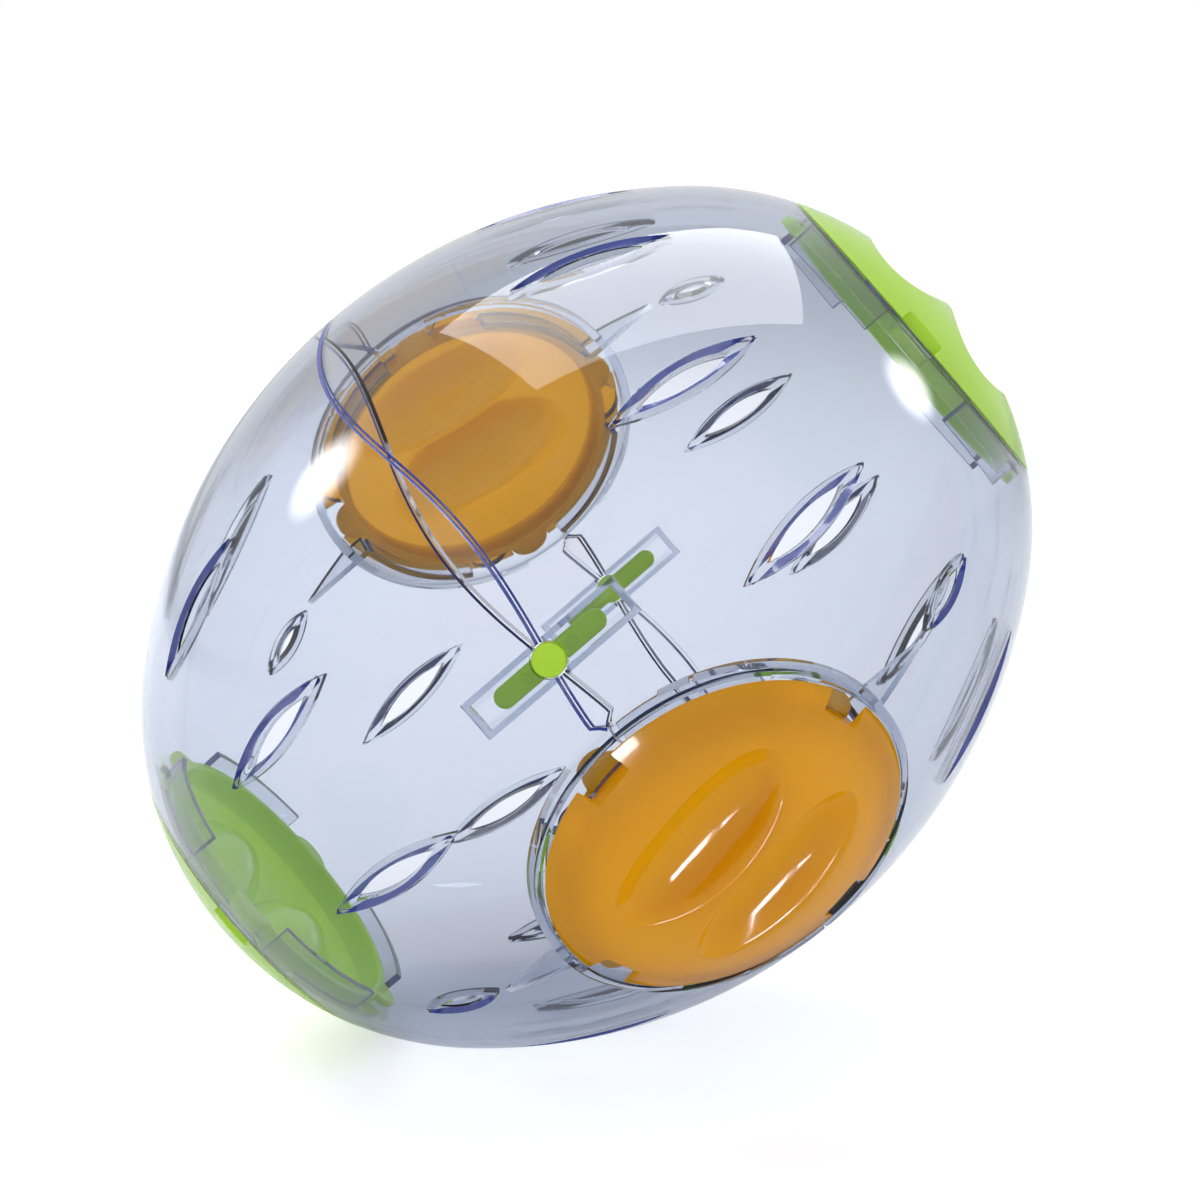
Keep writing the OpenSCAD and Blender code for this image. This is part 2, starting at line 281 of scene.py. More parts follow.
# %% Sizes of the air slots
slots = 12
slot_long = (35.0, 6.4, 23.0, 4.4, 54.0)     # mouth length and width, opening length and width, place
slot_short = (17.0, 4.8, 11.0, 3.0, 65.0)
slot_mouth_t = 1.0    # depth at which a mouth's sides end
slot_rim_h = 1.2
slot_rim_w = 0.8
slot_edge = 0.15      # small chamfers and steps round a slot
slot_floor = 0.02     # a mouth's floor slopes by this much
channel_w = 1.5       # channel at both ends of an opening


def slot_size(k):
    """The slots beside the side caps are short, and all others are long."""
    return slot_short if k % (slots // 2) == 0 else slot_long


# %% [markdown]
# ## One half's wall
#
# The wall is a profile carried round the axis: out along the outer skin, in over the ledge that the end
# cap lies on, back along the inner skin, and through the step of the joint. The ledge has four bays where
# the tongues of a cap go in, which is one more formula: the far crossing of a ray with a circle.

# %% Ledge with bays for the tongues
tongue_r = 5.0
tongue_t = 2.4
tongue_inset = 0.8      # from a tongue's tip to the cap's rim, seen from above
skirt_gap = 0.4
twist = math.radians(18)      # turn that brings the tongues to the bays
tongue_at = cap_r - tongue_inset - tongue_r
entry_r = tongue_r + skirt_gap
ring_in = tongue_at + entry_r + skirt_gap
ring_out = cap_r + wall_t


def ledge_edge(angle):
    """Inner radius of a ledge: the bore, or the far side of the nearest bay,
    a cos f + sqrt(e^2 - a^2 sin^2 f), where f is the angle from the bay's middle."""
    off = (angle - twist + quarter_turn / 2) % quarter_turn - quarter_turn / 2
    inside = entry_r**2 - (tongue_at * np.sin(off)) ** 2
    far = tongue_at * np.cos(off) + np.sqrt(np.maximum(inside, 0))
    return np.where((inside > 0) & (far > bore_r), far, bore_r)


wall_columns = 480
wall_rows = 52        # on each of the two skins


def half_wall(side):
    """Closed ring-shaped skin: rows follow the profile, columns go round the axis. Returns it with a mark
    on the edges of the joint and of the ledge."""
    columns = wall_columns
    rows = wall_rows
    bevel = joint_bevel
    turn = np.linspace(0, 2 * math.pi, columns, endpoint=False)[None, :]
    edge = side * wave(turn)
    gap = joint_gap / 2
    out_x = edge + gap
    in_x = gap - edge
    step = wall_t / 2 + gap * np.clip(edge / gap, -1, 1)
    ledge_x = end_seat + ledge_top
    under_x = end_seat + ledge_low
    rim_beta = math.asin((ledge_x - end_c) / end_curve_r)
    low_beta = math.asin((under_x - end_c) / (end_curve_r - wall_t))
    t = np.linspace(0, 1, rows)[:, None]
    start = np.arcsin((out_x + bevel) / side_curve_r)
    outer = wall_profile(start + (rim_beta - start) * t, 0)
    stop = np.arcsin((in_x + bevel) / (side_curve_r - wall_t))
    inner = wall_profile(low_beta + (stop - low_beta) * t, wall_t)
    bay = ledge_edge(side * (latch_turn - turn))
    ledge = [(np.full_like(turn, ledge_x), bay), (np.full_like(turn, under_x), bay)]
    lap = [wall_profile(np.arcsin(x / (side_curve_r - depth)), depth)
           for x, depth in ((in_x, wall_t - bevel), (in_x, step), (out_x, step), (out_x, bevel))]
    x, r = (np.vstack([part[k] for part in (outer, *ledge, inner, *lap)]) for k in (0, 1))
    points, faces = grid_solid(around(side * x, r, turn), loop_rows=True)
    row = np.arange(len(faces)) // columns
    last = 2 * rows + 2
    marked = [rows, last, last + 2, last + 3] + ([last - 1] if side < 0 else [])
    return points, faces, np.isin(row, marked)


# %% [markdown]
# ## Air slots
#
# Each slot is a pointed oval: a mouth outside, whose sides slope to a smaller opening, and a raised rim
# inside that stiffens the edge. Four outlines at four depths could be joined by hand, but a stack of them
# bent over the wall by arc length, along and across, does it for all 24 slots with one function.

# %% Lens outlines on the wall
lens_points = 48      # on each side of an outline
lens_blunt = 0.04     # half the width that is left at the points
boat_blunt = 0.05     # and how much wider a mouth's floor is, all along


def lens(length, width):
    """Pointed oval between two arcs of radius R: half width sqrt(R^2 - u^2) - R + w / 2, a touch blunt."""
    arc = (length**2 + width**2) / (4 * width)
    u = length / 2 * np.cos(np.linspace(0, math.pi, lens_points))
    v = np.sqrt(arc**2 - u**2) - arc + width / 2 + lens_blunt
    return np.concatenate([u, u[::-1]]), np.concatenate([v, -v[::-1]])


def boat(length, hole_l, hole_w):
    """Outline of a mouth's floor: the opening's lens, and a channel with round ends beyond it. Half width
    max(lens, b sqrt(1 - e^2)), with e running from 0 to 1 over the last b of the length."""
    half = channel_w / 2
    u = length / 2 * np.cos(np.linspace(0, math.pi, lens_points))
    end = np.clip((np.abs(u) - length / 2 + half) / half, 0, 1)
    arc = (hole_l**2 + hole_w**2) / (4 * hole_w)
    v = np.maximum(np.sqrt(arc**2 - u**2) - arc + hole_w / 2, half * np.sqrt(1 - end**2)) + boat_blunt
    return np.concatenate([u, u[::-1]]), np.concatenate([v, -v[::-1]])


def bent_over_wall(side, place, turn, levels):
    """Solid whose outlines (depth, (u, v)) are bent over the wall round a place on it."""
    stack = []
    for depth, (u, v) in levels:
        beta = math.asin(place / side_curve_r) + u / side_curve_r
        x, r = wall_profile(beta, depth)
        stack.append(around(side * x, r, turn - v / wall_profile(beta, 0)[1]))
    return lens_solid(np.array(stack))


def slot_cutters(side):
    """The mouth, whose sides slope to the opening and to a channel at both ends of it, and the opening."""
    cutters = []
    for k in range(slots):
        long_l, long_w, hole_l, hole_w, place = slot_size(k)
        mouth = lens(long_l, long_w)
        floor_line = boat(long_l - 2 * slot_edge, hole_l + slot_edge, hole_w + slot_edge)
        hole = lens(hole_l, hole_w)
        levels = [(-slot_mouth_t, mouth), (0, mouth), (slot_mouth_t, floor_line),
                  (slot_mouth_t + slot_floor, hole), (wall_t + 2 * slot_rim_h, hole)]
        cutters.append(bent_over_wall(side, place, k * 2 * math.pi / slots, levels))
    count = len(mouth[0])
    marks = np.zeros(len(cutters[0][1]))
    marks[count:2 * count] = 1
    return make_object("slot_cutters", cutters, np.tile(marks, slots))


def slot_rims(side):
    """The raised rims inside, rooted in the middle of the wall."""
    rims = []
    for k in range(slots):
        long_l, long_w, hole_l, hole_w, place = slot_size(k)
        wide = 2 * slot_rim_w
        soft = wide - 2 * slot_edge
        foot = lens(long_l + wide, long_w + wide)
        crest = lens(long_l + soft, long_w + soft)
        levels = [(wall_t / 2, foot), (wall_t + slot_rim_h - slot_edge, foot), (wall_t + slot_rim_h, crest)]
        rims.append(bent_over_wall(side, place, k * 2 * math.pi / slots, levels))
    return make_object("slot_rims", rims)


# %% [markdown]
# ## Seats of the caps
#
# A side cap closes a hole that lies half in each shell, so each half carries half of the ledge, half of
# the ring under it and two stretches of the broken collar. Profiles turned through a part of a circle
# make them, in the seat's own frame with +Z outwards.

# %% Frames of the seats and latches
def turn_x(angle):
    return Matrix.Rotation(angle, 4, "X")


def lifted(height):
    return Matrix.Translation((0, 0, height))


seat_frames = {
    "front_cap": turn_x(quarter_turn) @ lifted(side_seat) @ Matrix.Rotation(side_cap_turn, 4, "Z"),
    "rear_cap": turn_x(-quarter_turn) @ lifted(side_seat) @ Matrix.Rotation(side_cap_turn, 4, "Z"),
}
for name, half_turn in (("right_cap", 0), ("left_cap", math.pi)):
    seat_frames[name] = (turn_x(latch_turn) @ Matrix.Rotation(half_turn, 4, "Y") @ turn_x(-quarter_turn)
                         @ Matrix.Rotation(quarter_turn, 4, "Y") @ lifted(end_seat))
latch_frames = {
    "front_latch": turn_x(latch_turn + quarter_turn) @ lifted(ball_r),
    "rear_latch": turn_x(latch_turn - quarter_turn) @ lifted(ball_r),
}


# %% Turned profiles
def turned(profile, angles, matrix, closed=False):
    """A profile of (radius, height) pairs turned about the seat's axis: (r cos a, r sin a, z). A radius may
    be a function of the angle."""
    radii = [radius(angles) if callable(radius) else radius for radius, height in profile]
    r = np.stack([np.broadcast_to(radius, angles.shape) for radius in radii], 1)
    z = np.array([height for radius, height in profile], float)[None, :] + np.zeros_like(r)
    points = np.stack([r * np.cos(angles)[:, None], r * np.sin(angles)[:, None], z], -1)
    return grid_solid(placed(points, matrix), loop_rows=closed)


def full_circle(count):
    return np.linspace(0, 2 * math.pi, count, endpoint=False)


# %% Rings, collars and ribs of one half
collar_h = 7.7        # depth of its inner edge under the cap's seat
collar_t = 1.6
collar_in = bore_r + 0.2
clear_turn = math.radians(1.2)
collar_from = twist + math.asin(tongue_r / tongue_at) + clear_turn
collar_to = quarter_turn - side_cap_turn - clear_turn
ring_low = seat_over - side_seat - 1.5 * wall_t
half_ring_points = 240
collar_points = 40
rib_points = 24


def side_rings(side):
    """Half of each side seat: the ledge with its bays, and the ring that carries it."""
    slack = joint_gap / 2 / bore_r
    first = -side_cap_turn + (-quarter_turn if side > 0 else quarter_turn) + slack
    angles = np.linspace(first, first + math.pi - 2 * slack, half_ring_points)
    soft = slot_edge
    profile = [(ledge_edge, ledge_top), (ring_out - soft, ledge_top), (ring_out, ledge_top - soft),
               (ring_out, ring_low + soft), (ring_out - soft, ring_low), (ring_in, ring_low),
               (ring_in, ledge_low), (ledge_edge, ledge_low)]
    rings = [turned(profile, angles, seat_frames[n]) for n in ("front_cap", "rear_cap")]
    marks = np.arange(len(rings[0][1])) % len(profile) == len(profile) - 1
    return make_object("side_rings", rings, np.tile(marks, 2))


def collars(side):
    """Broken collars: two stretches at each side seat and four at the end seat."""
    top = ledge_low + ledge_t / 2
    soft = slot_edge
    outside = collar_in + collar_t
    profile = [(collar_in, top), (outside, top), (outside, -collar_h + soft), (outside - soft, -collar_h),
               (collar_in + soft, -collar_h), (collar_in, -collar_h + soft)]
    found = []
    for name in ("front_cap", "rear_cap", "right_cap" if side > 0 else "left_cap"):
        for k in range(4):
            angles = np.linspace(collar_from, collar_to, collar_points) + k * quarter_turn
            middle = math.cos(angles.mean() + side_cap_turn)
            if name in ("front_cap", "rear_cap") and middle * side < 0:
                continue
            found.append(turned(profile, angles, seat_frames[name]))
    marks = np.isin(np.arange(len(found[0][1])) % len(profile), (2, 4))
    marks[-2:] = True
    return make_object("collars", found, np.tile(marks, len(found)))


def side_ribs(side):
    """Flat ribs in line with the axis. Their upper edge follows the middle of the wall,
    sqrt(R^2 - x^2) - c."""
    reach = side_curve_r - wall_t / 2
    low = side_seat - collar_h
    start = collar_in + collar_t / 2
    end = math.sqrt(reach**2 - (low + side_c) ** 2)
    step = (ring_in + ring_out) / 2
    x = np.concatenate([[start, step], np.linspace(step, end, rib_points)])
    high = np.sqrt(reach**2 - x**2) - side_c
    high[:2] = side_seat + ledge_low + ledge_t / 2
    ribs = []
    for back in (-1, 1):
        upper = np.stack([side * x, back * high], -1)
        lower = np.stack([side * x, np.full_like(x, back * low)], -1)
        ring = np.concatenate([upper, lower[::-1]])
        pair = [np.column_stack([ring, np.full(len(ring), z)]) for z in (-collar_t / 2, collar_t / 2)]
        ribs.append(lens_solid(np.array(pair)))
    return make_object("side_ribs", ribs)


# %% Rails that hold the latches
bar_l = 27.0
bar_w = 4.5
bar_t = 1.6
button_r = 3.4
button_gap = 0.3
press = 1.5           # how far a latch is pressed in
rail_l = 38.0
rail_w = 8.6
rail_t = 1.2
bar_top = -wall_t - (side_curve_r - math.sqrt(side_curve_r**2 - (bar_l / 2) ** 2)) - joint_gap
bar_low = bar_top - bar_t
lip_t = rail_t / 2
rail_low = bar_low - press - joint_gap - lip_t
rail_start = 1.5      # the rails of the two halves stay apart at the joint
rail_top = -1.7       # inside the wall all along the rail
rail_step = 0.05      # the end wall is this much shorter and lower than the rails


def latch_rails(side):
    """Two rails with an L section under each latch, as profiles carried straight along the axis."""
    wide = rail_w / 2
    lip = wide - 2 * rail_t
    section = [(wide, rail_top), (wide, rail_low), (lip, rail_low), (lip, rail_low + lip_t),
               (wide - rail_t, rail_low + lip_t), (wide - rail_t, rail_top)]
    rails = []
    for matrix in latch_frames.values():
        for hand in (-1, 1):
            path = [[(side * x, hand * y, z) for y, z in section] for x in (rail_start, rail_l / 2)]
            rails.append(grid_solid(placed(np.array(path), matrix)))
    return make_object("latch_rails", rails)


def rail_ends(side):
    """The wall that closes the two rails at their far end."""
    ends = []
    for matrix in latch_frames.values():
        wide = rail_w / 2 - rail_t / 4
        foot = rail_low + rail_step
        section = [(-wide, rail_top), (wide, rail_top), (wide, foot), (-wide, foot)]
        path = [[(side * x, y, z) for y, z in section] for x in (rail_l / 2 - rail_t, rail_l / 2 - rail_step)]
        ends.append(grid_solid(placed(np.array(path), matrix)))
    return make_object("rail_ends", ends)


# %% [markdown]
# ## Putting a half together
#
# First the seat holes and button holes are cut, then the rings, collars, ribs and rails grow on the wall,
# and the slots go through wall and rims last. Each half replaces its plain solid and rides on its body.
# The marks on dark edges come through the cuts as material numbers. They are kept as an attribute of the
# faces instead, so that one material, with its tint inside, covers the whole half.

# %% Cutters for the seats and buttons
cut_reach = 20.0      # how far a cutter goes past the seat to both sides
cutter_bore = 0.2     # radius of the small hole along a cutter's axis
hole_spare = 0.2      # a seat's hole is wider than its ring's inside, so that the ring grows on the cut
hole_slope = 0.1      # depth of the slope from the hole out to the recess
seat_points = 300
button_points = 72


def seat_cutters():
    """Turned cutters for both side seats: the hole under the ledge, and the recess that takes the rim."""
    hole = ring_in + hole_spare
    recess = cap_r + joint_gap
    profile = [(cutter_bore, -cut_reach), (hole, -cut_reach), (hole, ledge_top - hole_slope),
               (recess, ledge_top), (recess, cut_reach), (cutter_bore, cut_reach)]
    angles = full_circle(seat_points)
    return make_object("seat_cutters", [turned(profile, angles, seat_frames[n], closed=True)
                                        for n in ("front_cap", "rear_cap")])


def plug(radius, low, high, count, matrix, soft=0.0):
    """A round solid between two heights, with its upper edge rounded by a quarter circle."""
    bend = np.linspace(0, quarter_turn, 6 if soft else 1)
    heights = [low, *(high - soft + soft * np.sin(bend))]
    radii = [radius, *(radius - soft + soft * np.cos(bend))]
    angles = full_circle(count)
    unit = np.stack([np.cos(angles), np.sin(angles)], -1)
    rings = np.array([np.column_stack([r * unit, np.full(count, h)]) for r, h in zip(radii, heights)])
    return grid_solid(placed(rings, matrix))


def button_cutters():
    hole_r = button_r + button_gap
    return make_object("button_cutters", [plug(hole_r, -4 * wall_t, 4 * wall_t, button_points, m)
                                          for m in latch_frames.values()])


# %% Build both halves
halves = {}
for name, side in (("left_shell", -1), ("right_shell", 1)):
    points, faces, marks = half_wall(side)
    piece = make_object("clear_" + name, [(points, faces)], marks)
    combine(piece, [("DIFFERENCE", seat_cutters()), ("DIFFERENCE", button_cutters()),
                    ("UNION", slot_rims(side)), ("UNION", side_rings(side)), ("UNION", collars(side)),
                    ("UNION", side_ribs(side)), ("UNION", latch_rails(side)), ("UNION", rail_ends(side)),
                    ("DIFFERENCE", slot_cutters(side))])
    mesh = piece.data
    marks = np.empty(len(mesh.polygons), np.int32)
    mesh.polygons.foreach_get("material_index", marks)
    mesh.attributes.new("edge", "FLOAT", "FACE").data.foreach_set("value", marks.astype(np.float32))
    mesh.polygons.foreach_set("material_index", np.zeros_like(marks))
    smooth_faces = shade(piece, wall_skins)
    halves[name] = piece
    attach(piece, name.replace("shell", "half"))
    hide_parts(name)
    print(name, "faces", len(mesh.polygons), "on moulded skins", int(smooth_faces.sum()),
          "dark edges", int(marks.sum()))

# %% [markdown]
# ## The caps
#
# A cap is a shallow dome with two finger hollows and a grip between them. The dome is part of a sphere.
# A hollow is a trough with a round section, and its outline from above is an ellipse made a little
# fuller. Taking the lower of the two heights, with a soft blend where they cross, gives the rounded edges
# that moulded plastic has. The underside is the same formula with the dome shrunk and the hollows grown
# by the thickness.

# %% Height of a cap
finger_l = 46.0
finger_w = 19.0
finger_round = 2.2      # 2 gives a hollow the outline of an ellipse, and more makes it fuller
grip_w = 4.0
notch_w = 10.0
finger_at = (grip_w + finger_w) / 2
finger_up = math.sqrt(dome_r**2 - finger_at**2) - dome_r + cap_h
skirt_r = bore_r - skirt_gap
skirt_t = cap_t
tongue_top = ledge_low - seat_gap
tongue_low = tongue_top - tongue_t
blend = (1.6, 5.0)   # how softly a hollow runs into the grip, and into the dome at its far side
steep = 0.94         # share of a hollow's half width after which its wall runs on straight


def soft_min(a, b, k):
    """The lower of two heights, less k / 4 (1 - |a - b| / k)^2 where they are closer than k."""
    return np.minimum(a, b) - k / 4 * np.maximum(1 - np.abs(a - b) / k, 0) ** 2


def cap_height(x, y, inset):
    """Dome: sqrt(R^2 - x^2 - y^2) - R + h. Hollow: u - sqrt(w^2 - v^2), where v runs across it, and its
    half width at x is w = W (1 - |x / L|^p)^(1 / p)."""
    height = np.sqrt((dome_r - inset) ** 2 - x**2 - y**2) - dome_r + cap_h
    share = np.abs(x) / (finger_l / 2 + inset)
    half = (finger_w / 2 + inset) * np.maximum(1 - share**finger_round, 0) ** (1 / finger_round)
    slope = steep / math.sqrt(1 - steep**2)
    soft = blend[0] + (blend[1] - blend[0]) * np.clip(np.abs(y) / (finger_at + finger_w / 2), 0, 1)
    for hand in (-1, 1):
        across = np.abs(y - hand * finger_at)
        edge = steep * half
        bowl = finger_up - np.sqrt(np.maximum(half**2 - np.minimum(across, edge) ** 2, 0))
        bowl = bowl + slope * (np.maximum(across - edge, 0) + 4 * np.maximum(share - 1, 0))
        height = soft_min(height, bowl, soft)
    return height


def cap_facing(x, y, inset):
    """Way the skin faces: (-dh/dx, -dh/dy, 1), from small steps to both sides."""
    d = 0.01
    slope_x = (cap_height(x + d, y, inset) - cap_height(x - d, y, inset)) / (2 * d)
    slope_y = (cap_height(x, y + d, inset) - cap_height(x, y - d, inset)) / (2 * d)
    way = np.stack([-slope_x, -slope_y, np.ones_like(slope_x)], -1)
    return way / np.linalg.norm(way, axis=-1, keepdims=True)


# %% [markdown]
# The cap's profile goes from the middle of the upper skin out to the rim, round its thin edge, in to the
# skirt, down and up the skirt, and back to the middle under the dome. Fine rows on top keep the steep
# walls of the hollows smooth.

# %% Mesh of a cap
cap_columns = 300
top_rows = 150
under_rows = 80
pole_r = 0.15         # radius of the small flat faces that close the two poles
rim_r = cap_r - 0.05
rim_soft = 0.35
skirt_soft = 0.4
notch_corner = 0.8
notch_past = 3        # how far a block goes past the rim
tongue_soft = 0.35
tongue_points = 40


def cap_solid():
    """Rows of rings from the top's middle, over the rim and skirt, to the underside's middle."""
    angles = full_circle(cap_columns)
    rings = []
    soft = rim_soft
    for r in np.linspace(pole_r, cap_r - soft, top_rows):
        x = r * np.cos(angles)
        y = r * np.sin(angles)
        rings.append(np.stack([x, y, cap_height(x, y, 0)], -1))
    inner_flat = math.sqrt((dome_r - cap_t) ** 2 - (dome_r - cap_h) ** 2)
    rim_z = float(cap_height(np.array(cap_r - soft), np.array(0.0), 0))
    skirt_top = float(cap_height(np.array(skirt_r), np.array(0.0), cap_t))
    inside_r = skirt_r - skirt_t
    bend = skirt_soft
    profile = [(rim_r, 0.5 * rim_z), (rim_r, 0.3 * rim_z), (cap_r - soft, 0), (inner_flat, 0),
               (skirt_r, skirt_top), (skirt_r, tongue_low + bend), (skirt_r - bend, tongue_low),
               (inside_r + bend, tongue_low), (inside_r, tongue_low + bend)]
    for r, z in profile:
        rings.append(np.stack([r * np.cos(angles), r * np.sin(angles), np.full_like(angles, z)], -1))
    for r in np.linspace(inside_r, pole_r, under_rows):
        x = r * np.cos(angles)
        y = r * np.sin(angles)
        rings.append(np.stack([x, y, cap_height(x, y, cap_t)], -1))
    return grid_solid(np.array(rings))


def notch_cutters():
    """Blocks that open the rim over each tongue, with rounded inner corners."""
    corner = notch_corner
    bend = np.linspace(0, quarter_turn, 5)
    half = notch_w / 2
    x = np.concatenate([[cap_r + notch_past], skirt_r + corner - corner * np.sin(bend)])
    y = np.concatenate([[half], half - corner + corner * np.cos(bend)])
    outline = np.concatenate([np.stack([x, y], -1), np.stack([x, -y], -1)[::-1]])
    stack = np.array([np.column_stack([outline, np.full(len(outline), z)]) for z in (-seat_gap, cap_h)])
    return make_object("notch_cutters", [grid_solid(placed(stack, Matrix.Rotation(k * quarter_turn, 4, "Z")))
                                         for k in range(4)])


def tongues():
    """Round tabs rooted in the skirt: half circles with a soft upper and lower edge."""
    bend = tongue_soft
    sweep = np.linspace(-quarter_turn, quarter_turn, tongue_points)
    tabs = []
    for k in range(4):
        levels = []
        for z, inset in ((tongue_low, bend), (tongue_low + bend, 0),
                         (tongue_top - bend, 0), (tongue_top, bend)):
            r = tongue_r - inset
            outline = np.column_stack([tongue_at + r * np.cos(sweep), r * np.sin(sweep),
                                       np.full(tongue_points, z)])
            levels.append(outline)
        tabs.append(grid_solid(placed(np.array(levels), Matrix.Rotation(k * quarter_turn, 4, "Z"))))
    return make_object("tongues", tabs)


def cap_skins(points):
    """Distance of points from the upper skin and the underside, and the way each faces."""
    x, y, z = points.T
    reach = np.hypot(x, y)
    shrink = np.minimum(1, (cap_r - 0.01) / np.maximum(reach, 1e-6))
    x = x * shrink
    y = y * shrink
    far = 1.0
    top = np.where(reach < cap_r - 0.3, z - cap_height(x, y, 0), far)
    under = np.where(reach < skirt_r - skirt_t + 0.01, z - cap_height(x, y, cap_t), far)
    return [(top, cap_facing(x, y, 0)), (under, -cap_facing(x, y, cap_t))]


# %% Build the four caps
caps = {}
for name in ("front_cap", "rear_cap", "left_cap", "right_cap"):
    piece = make_object(("orange_" if name in ("front_cap", "rear_cap") else "green_") + name, [cap_solid()])
    combine(piece, [("DIFFERENCE", notch_cutters()), ("UNION", tongues())])
    shade(piece, cap_skins)
    metres = Matrix.Scale(MM, 4) @ seat_frames[name] @ Matrix.Scale(1 / MM, 4)
    piece.data.transform(metres)
    caps[name] = piece
    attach(piece, name)
    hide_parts(name)
    print(name, "faces", len(piece.data.polygons))

# %% [markdown]
# ## The press latches
#
# A latch is a springy bar under the wall with a round button that comes out flush through a hole on the
# joint, and two small pegs that guide it. The bar's outline is a stadium, drawn in at its edges so that
# it looks moulded and not sawn.

# %% Mesh of a latch
bar_soft = 0.4
bar_points = 24                  # round each end of the bar
button_sides = 96
peg_sides = 32
button_root = bar_low + 0.3      # inside the bar, so that the two join
button_top = -0.02               # flush with the ball
button_soft = 0.5
peg_r = bar_w / 5
peg_x = button_r + bar_w / 2
peg_root = bar_low + 0.5
peg_top = -wall_t - joint_gap
peg_soft = 0.2


def bar_solid(matrix):
    """A stadium outline at a few heights, drawn in by a quarter circle at the top and bottom edges."""
    soft = bar_soft
    bend = np.linspace(0, quarter_turn, 5)
    heights = np.concatenate([bar_low + soft - soft * np.cos(bend), bar_top - soft + soft * np.sin(bend)])
    insets = np.concatenate([soft - soft * np.sin(bend), soft - soft * np.cos(bend)])
    sweep = np.linspace(-quarter_turn, quarter_turn, bar_points)
    levels = []
    for z, inset in zip(heights, insets):
        r = bar_w / 2 - inset
        end = bar_l / 2 - bar_w / 2
        x = np.concatenate([end + r * np.cos(sweep), -end - r * np.cos(sweep)])
        y = np.concatenate([r * np.sin(sweep), -r * np.sin(sweep)])
        levels.append(np.column_stack([x, y, np.full(len(x), z)]))
    return grid_solid(placed(np.array(levels), matrix))


latches = {}
for name, matrix in latch_frames.items():
    piece = make_object("green_" + name, [bar_solid(matrix)])
    button = make_object("button", [plug(button_r, button_root, button_top, button_sides, matrix,
                                           button_soft)])
    peg_frames = [matrix @ Matrix.Translation((hand * peg_x, 0, 0)) for hand in (-1, 1)]
    pegs = make_object("pegs", [plug(peg_r, peg_root, peg_top, peg_sides, m, peg_soft)
                                for m in peg_frames])
    combine(piece, [("UNION", button), ("UNION", pegs)])
    shade(piece, lambda points: [])
    latches[name] = piece
    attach(piece, name)
    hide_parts(name)
    print(name, "faces", len(piece.data.polygons))


# %% [markdown]
# ## Clear plastic
#
# The shell is seen through two or four times, so its tint comes from a volume that takes away a little
# red and green for each millimetre of plastic. Edges look navy on the real ball, because they gather light
# that has run inside the wall for centimetres. That would take many bounces, so the faces that were marked
# as edges get painted navy, which stands in for that light. Shadow rays pass through the wall, so that what
# lies inside is lit and the floor gets only a soft shadow.

# %% Node helpers
def new_material(name):
    material = bpy.data.materials.new(name)
    material.use_nodes = True
    nodes = material.node_tree.nodes
    nodes.clear()
    return material, nodes, material.node_tree.links


def added(nodes, kind, **values):
    """A new node with values in some of its inputs. An underscore stands for a space in an input's name."""
    node = nodes.new("ShaderNode" + kind)
    for name, value in values.items():
        node.inputs[name.replace("_", " ")].default_value = value
    return node


def feed(links, value, socket):
    """Gives an input a number or the output of another node."""
    if isinstance(value, float):
        socket.default_value = value
    else:
        links.new(value, socket)


def noise(nodes, links, scale, detail, stretch=(1, 1, 1)):
    """Noise on Object coordinates, in cycles per metre, drawn out along an axis by its stretch."""
    place = added(nodes, "TexCoord")
    mapping = added(nodes, "Mapping", Scale=stretch)
    texture = added(nodes, "TexNoise", Scale=scale, Detail=detail)
    links.new(place.outputs["Object"], mapping.inputs["Vector"])
    links.new(mapping.outputs["Vector"], texture.inputs["Vector"])
    return texture.outputs["Fac"]


def ranged(nodes, links, value, low, high, start=0.3, stop=0.7):
    """Spreads a value between two limits. A noise keeps mostly between the given start and stop."""
    spread = added(nodes, "MapRange", From_Min=start, From_Max=stop, To_Min=low, To_Max=high)
    links.new(value, spread.inputs["Value"])
    return spread.outputs["Result"]


def bumped(nodes, links, height, strength, distance):
    """Normal of a surface that a height lifts by up to a distance in metres."""
    bump = added(nodes, "Bump", Strength=strength, Distance=distance)
    links.new(height, bump.inputs["Height"])
    return bump.outputs["Normal"]


def worked_out(nodes, links, operation, first, second):
    """A sum of two values, such as MULTIPLY or MAXIMUM."""
    node = added(nodes, "Math")
    node.operation = operation
    feed(links, first, node.inputs[0])
    feed(links, second, node.inputs[1])
    return node.outputs[0]


def highest(nodes, links, values):
    """The highest of several values."""
    first, *others = values
    for other in others:
        first = worked_out(nodes, links, "MAXIMUM", first, other)
    return first


def mixed(nodes, links, share, first, second):
    """The first shader, or the second where the share is 1."""
    mix = added(nodes, "MixShader")
    feed(links, share, mix.inputs["Fac"])
    links.new(first, mix.inputs[1])
    links.new(second, mix.inputs[2])
    return mix.outputs["Shader"]


# %% Clear shell
plastic_ior = 1.49


